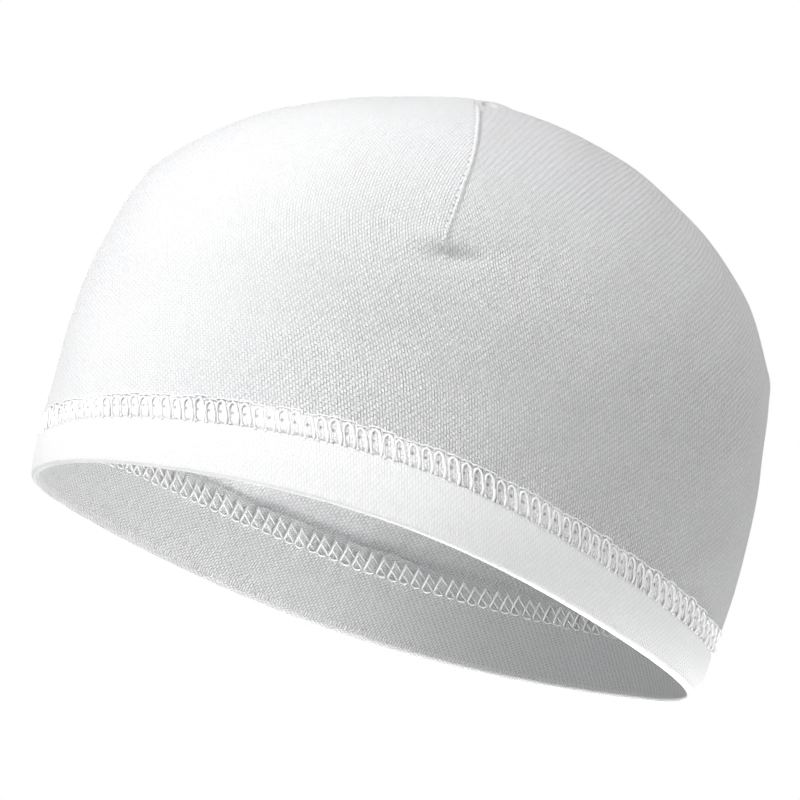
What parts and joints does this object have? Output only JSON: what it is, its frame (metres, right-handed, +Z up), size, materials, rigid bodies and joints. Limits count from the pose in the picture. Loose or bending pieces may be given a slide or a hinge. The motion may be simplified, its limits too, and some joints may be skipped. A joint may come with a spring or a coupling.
{
  "type": "knit sleep cap",
  "caption": "Close-fitting stretch-knit skull cap in its worn form: a domed crown shaped by darts over a folded, stitched hem.",
  "frame": {"origin": "middle of the head opening, in the level plane of the rim's front and back edge", "axes": "+Z up through the crown, -Y towards the forehead, +X towards the wearer's left"},
  "size_m": [0.16, 0.2019, 0.1457],
  "materials": {
    "crown_knit": "matt white fine stretch knit",
    "hem_knit": "matt white double knit, folded and cover-stitched"
  },
  "bodies": {
    "root": {"crown": "crown_knit", "hem_band": "hem_knit"}
  },
  "joints": []
}
